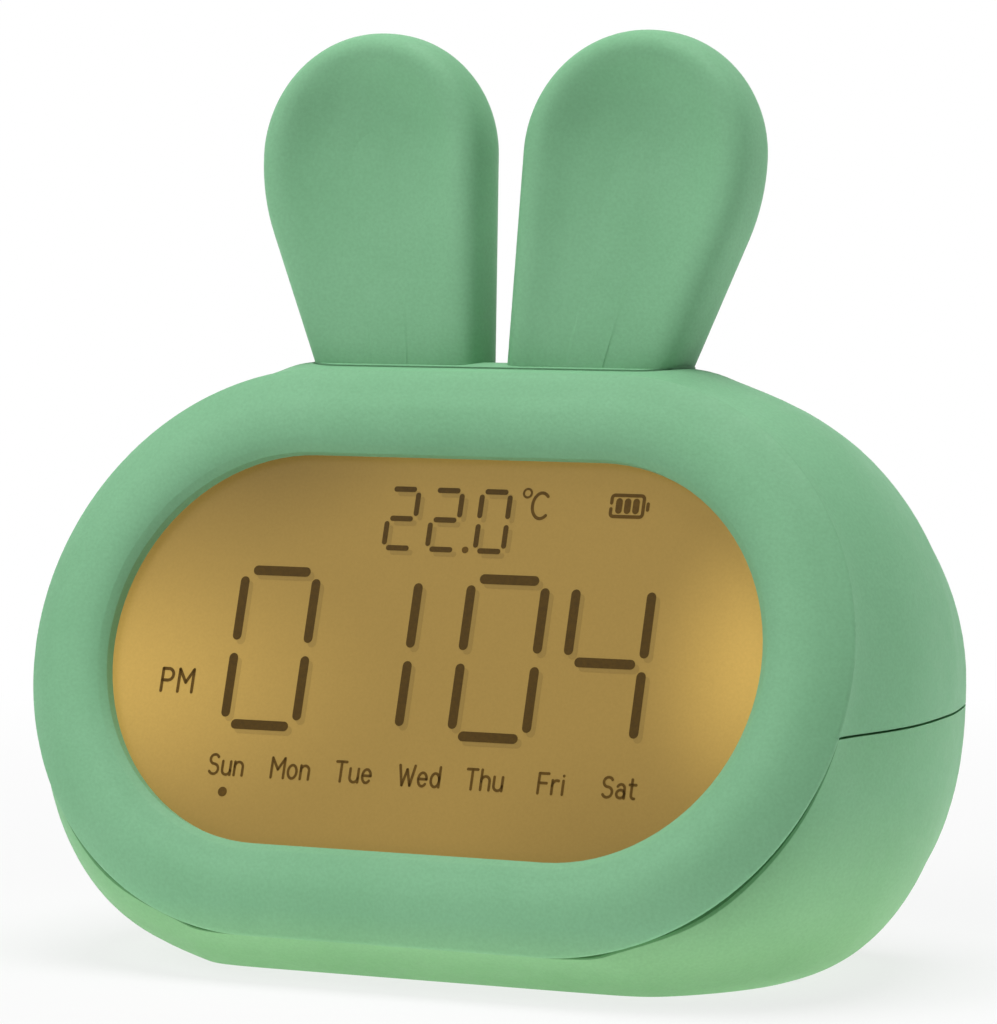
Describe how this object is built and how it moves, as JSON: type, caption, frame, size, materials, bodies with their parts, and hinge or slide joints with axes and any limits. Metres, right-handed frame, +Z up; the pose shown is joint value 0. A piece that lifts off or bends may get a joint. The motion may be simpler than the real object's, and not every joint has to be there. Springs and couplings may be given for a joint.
{
  "type": "rabbit-eared alarm clock with night light",
  "caption": "Kids digital alarm clock with a round ringed amber display, two rabbit ears that press down on top, back keys, an alarm switch and a charging socket.",
  "frame": {"origin": "centre of the box round the clock, on the surface that it stands on", "axes": "+X to the viewer's right, +Y to the back, +Z up; the display faces -Y and leans back"},
  "size_m": [0.1178, 0.0642, 0.1189],
  "materials": {
    "green_plastic": "soft-touch matt mint green",
    "white_plastic": "as moulded",
    "black_plastic": "fine matt",
    "black_resin": "poured",
    "lcd_glass": "amber lit display under an anti-glare film",
    "white_film": "satin film",
    "clear_acrylic": "polished",
    "led_amber": "satin",
    "flex_film": "satin film",
    "board_green": "solder mask",
    "spring_steel": "plated",
    "screw_steel": "plated",
    "metal_can": "plated",
    "speaker_paper": "pulp",
    "cell_sleeve": "shrink sleeve",
    "grey_rubber": "matt"
  },
  "bodies": {
    "housing": {"upper_shell": "green_plastic", "lower_shell": "green_plastic", "ear_springs": "spring_steel", "ear_bridge": "white_plastic", "ear_switch": "black_plastic", "bridge_screws": "screw_steel", "lcd_glass": "lcd_glass", "diffuser_film": "white_film", "light_guide": "clear_acrylic", "mirror_film": "white_film", "led_strip_left": "led_amber", "led_strip_right": "led_amber", "display_frame": "white_plastic", "lcd_flex": "flex_film", "main_board": "board_green", "board_screws": "screw_steel", "controller_chip": "black_resin", "quartz_crystal": "metal_can", "capacitor": "black_plastic", "wire_socket": "white_plastic", "temperature_sensor": "black_resin", "key_board": "board_green", "key_board_screws": "screw_steel", "key_switches": "black_plastic", "speaker_frame": "metal_can", "speaker_cone": "speaker_paper", "speaker_magnet": "spring_steel", "battery_cell": "cell_sleeve", "battery_strap": "white_plastic", "strap_screws": "screw_steel", "power_board": "board_green", "power_board_screws": "screw_steel", "charging_socket": "metal_can", "slide_switch": "metal_can", "housing_screws": "screw_steel", "rubber_feet": "grey_rubber"},
    "ears": {"ear_cap": "green_plastic"},
    "alarm_knob": {"alarm_slider": "black_plastic"},
    "set_key_button": {"set_key": "green_plastic"},
    "plus_key_button": {"plus_key": "green_plastic"},
    "minus_key_button": {"minus_key": "green_plastic"},
    "alarm_key_button": {"alarm_key": "green_plastic"}
  },
  "joints": [
    {"name": "ear_press", "type": "slide", "parent": "housing", "child": "ears", "axis": [0, 0, -1], "range_m": [0, 0.0008], "stiffness_N_per_m": 900, "springref_m": -0.0015, "deforming": ["ear_springs"]},
    {"name": "alarm_slide", "type": "slide", "parent": "housing", "child": "alarm_knob", "axis": [1, 0, 0], "range_m": [0, 0.003]},
    {"name": "set_key_press", "type": "slide", "parent": "housing", "child": "set_key_button", "axis": [0, -1, 0], "range_m": [0, 0.0006], "stiffness_N_per_m": 600, "springref_m": -0.0003},
    {"name": "plus_key_press", "type": "slide", "parent": "housing", "child": "plus_key_button", "axis": [0, -1, 0], "range_m": [0, 0.0006], "stiffness_N_per_m": 600, "springref_m": -0.0003},
    {"name": "minus_key_press", "type": "slide", "parent": "housing", "child": "minus_key_button", "axis": [0, -1, 0], "range_m": [0, 0.0006], "stiffness_N_per_m": 600, "springref_m": -0.0003},
    {"name": "alarm_key_press", "type": "slide", "parent": "housing", "child": "alarm_key_button", "axis": [0, -1, 0], "range_m": [0, 0.0006], "stiffness_N_per_m": 600, "springref_m": -0.0003}
  ]
}
